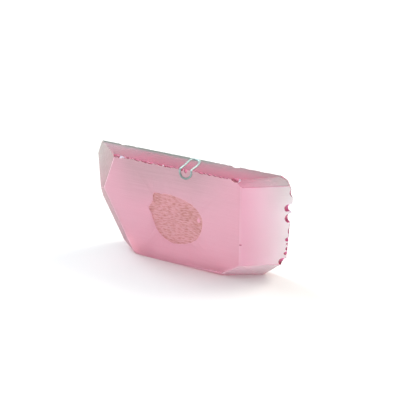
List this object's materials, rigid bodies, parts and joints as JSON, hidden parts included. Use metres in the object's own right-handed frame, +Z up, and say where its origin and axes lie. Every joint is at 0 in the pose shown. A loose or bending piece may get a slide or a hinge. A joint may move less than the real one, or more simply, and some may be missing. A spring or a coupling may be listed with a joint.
{
  "type": "morganite",
  "caption": "Plate of translucent pink beryl standing on its long edge, with bevelled and chipped ends, an oval patch of ridged skin on its face and a thin hanging wire looped over its top.",
  "frame": {"origin": "under the middle of the plate, on the surface that it stands on", "axes": "+X along the plate towards its thin chipped end, +Y through the plate away from the broad front face, +Z up"},
  "size_m": [0.0529, 0.0076, 0.0253],
  "materials": {
    "pink_beryl": "satin ground front face, clearer bevels, glassy chips, thin brown ridged skin in the oval patch",
    "wire": "dull grey-green metal"
  },
  "bodies": {
    "root": {"crystal": "pink_beryl", "wire_loop": "wire"}
  },
  "joints": []
}
